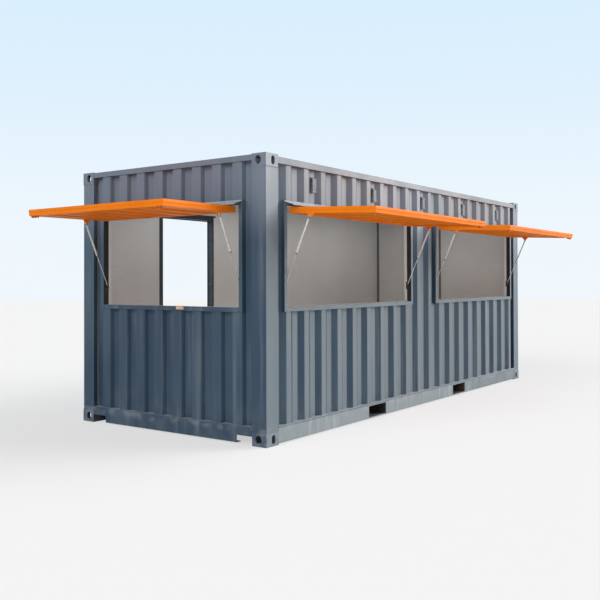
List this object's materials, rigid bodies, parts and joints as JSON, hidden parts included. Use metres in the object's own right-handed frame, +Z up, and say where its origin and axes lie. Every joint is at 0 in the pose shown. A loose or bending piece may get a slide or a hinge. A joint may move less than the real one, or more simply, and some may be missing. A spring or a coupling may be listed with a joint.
{
  "type": "shipping container cabin",
  "caption": "Steel shipping container made into a serving cabin, with gas-strut hatch flaps over counter openings, lined walls, a doorway and fork pockets.",
  "frame": {"origin": "on the ground, in the middle of the four bottom casting slots", "axes": "+X along the container from the hatch end towards the cargo doors, serving side facing -Y, +Z up"},
  "size_m": [6.969, 3.3478, 2.591],
  "materials": {
    "slate_paint": "satin slate blue-grey paint, dusty low down",
    "casting_paint": "slate blue-grey paint, worn at the edges",
    "orange_paint": "satin orange paint",
    "lining_board": "matt off-white lining board",
    "floor_board": "worn plywood boards",
    "strut_grey": "light grey gas strut tube",
    "polished_rod": "polished strut rod",
    "dark_steel": "dark coated steel",
    "zinc_steel": "dull galvanised steel"
  },
  "bodies": {
    "container": {"back_lining": "lining_board", "back_wall_over_door": "slate_paint", "back_wall_panels": "slate_paint", "bottom_castings": "casting_paint", "bottom_side_rails": "slate_paint", "cargo_door_linings": "lining_board", "cargo_doors": "slate_paint", "ceiling_lining": "lining_board", "corner_posts": "slate_paint", "cross_members": "dark_steel", "door_frame": "slate_paint", "end_hatch_frame": "slate_paint", "end_headers": "slate_paint", "end_lining": "lining_board", "end_sills": "slate_paint", "end_wall_base": "slate_paint", "end_wall_piers": "slate_paint", "end_wall_top": "slate_paint", "floor_deck": "floor_board", "fork_pockets": "dark_steel", "lock_rods": "zinc_steel", "rain_flashings": "slate_paint", "roof_sheet": "slate_paint", "serving_hatch_far_frame": "slate_paint", "serving_hatch_near_frame": "slate_paint", "serving_lining": "lining_board", "serving_wall_base": "slate_paint", "serving_wall_piers": "slate_paint", "serving_wall_top": "slate_paint", "sill_keeper": "orange_paint", "strut_brackets": "dark_steel", "top_castings": "casting_paint", "top_side_rails": "slate_paint", "vents": "slate_paint"},
    "serving_hatch_near_flap": {"serving_hatch_near_flap_frame": "orange_paint", "serving_hatch_near_flap_infill": "orange_paint"},
    "serving_hatch_near_tubes": {"serving_hatch_near_strut_tubes": "strut_grey"},
    "serving_hatch_near_rods": {"serving_hatch_near_strut_rods": "polished_rod"},
    "serving_hatch_far_flap": {"serving_hatch_far_flap_frame": "orange_paint", "serving_hatch_far_flap_infill": "orange_paint"},
    "serving_hatch_far_tubes": {"serving_hatch_far_strut_tubes": "strut_grey"},
    "serving_hatch_far_rods": {"serving_hatch_far_strut_rods": "polished_rod"},
    "end_hatch_flap": {"end_hatch_flap_frame": "orange_paint", "end_hatch_flap_infill": "orange_paint"},
    "end_hatch_tubes": {"end_hatch_strut_tubes": "strut_grey"},
    "end_hatch_rods": {"end_hatch_strut_rods": "polished_rod"}
  },
  "joints": [
    {"name": "serving_hatch_near_hinge", "type": "hinge", "parent": "container", "child": "serving_hatch_near_flap", "pos_m": [-1.525, -1.225, 2.141], "axis": [1, 0, 0], "range_deg": [0, 87.5]},
    {"name": "serving_hatch_near_strut_pivot", "type": "hinge", "parent": "serving_hatch_near_flap", "child": "serving_hatch_near_tubes", "pos_m": [-1.525, -1.45358, 2.03393], "axis": [1, 0, 0], "range_deg": [-116.49, 0]},
    {"name": "serving_hatch_near_strut_stroke", "type": "slide", "parent": "serving_hatch_near_tubes", "child": "serving_hatch_near_rods", "axis": [0, -0.4053, 0.9142], "range_m": [0, 0.18347]},
    {"name": "serving_hatch_far_hinge", "type": "hinge", "parent": "container", "child": "serving_hatch_far_flap", "pos_m": [1.525, -1.225, 2.141], "axis": [1, 0, 0], "range_deg": [0, 87.5]},
    {"name": "serving_hatch_far_strut_pivot", "type": "hinge", "parent": "serving_hatch_far_flap", "child": "serving_hatch_far_tubes", "pos_m": [1.525, -1.45358, 2.03393], "axis": [1, 0, 0], "range_deg": [-116.49, 0]},
    {"name": "serving_hatch_far_strut_stroke", "type": "slide", "parent": "serving_hatch_far_tubes", "child": "serving_hatch_far_rods", "axis": [0, -0.4053, 0.9142], "range_m": [0, 0.18347]},
    {"name": "end_hatch_hinge", "type": "hinge", "parent": "container", "child": "end_hatch_flap", "pos_m": [-3.035, 0, 2.141], "axis": [0, -1, 0], "range_deg": [0, 89.8]},
    {"name": "end_hatch_strut_pivot", "type": "hinge", "parent": "end_hatch_flap", "child": "end_hatch_tubes", "pos_m": [-3.2677, 0, 2.04319], "axis": [0, -1, 0], "range_deg": [-118.79, 0]},
    {"name": "end_hatch_strut_stroke", "type": "slide", "parent": "end_hatch_tubes", "child": "end_hatch_rods", "axis": [-0.4053, 0, 0.9142], "range_m": [0, 0.19361]}
  ],
  "couplings": [
    {"joint": "serving_hatch_near_strut_pivot", "follows": "serving_hatch_near_hinge", "ratio": -1.3312},
    {"joint": "serving_hatch_near_strut_stroke", "follows": "serving_hatch_near_hinge", "m_per_rad": 0.12008},
    {"joint": "serving_hatch_far_strut_pivot", "follows": "serving_hatch_far_hinge", "ratio": -1.3312},
    {"joint": "serving_hatch_far_strut_stroke", "follows": "serving_hatch_far_hinge", "m_per_rad": 0.12008},
    {"joint": "end_hatch_strut_pivot", "follows": "end_hatch_hinge", "ratio": -1.3227},
    {"joint": "end_hatch_strut_stroke", "follows": "end_hatch_hinge", "m_per_rad": 0.12346}
  ]
}
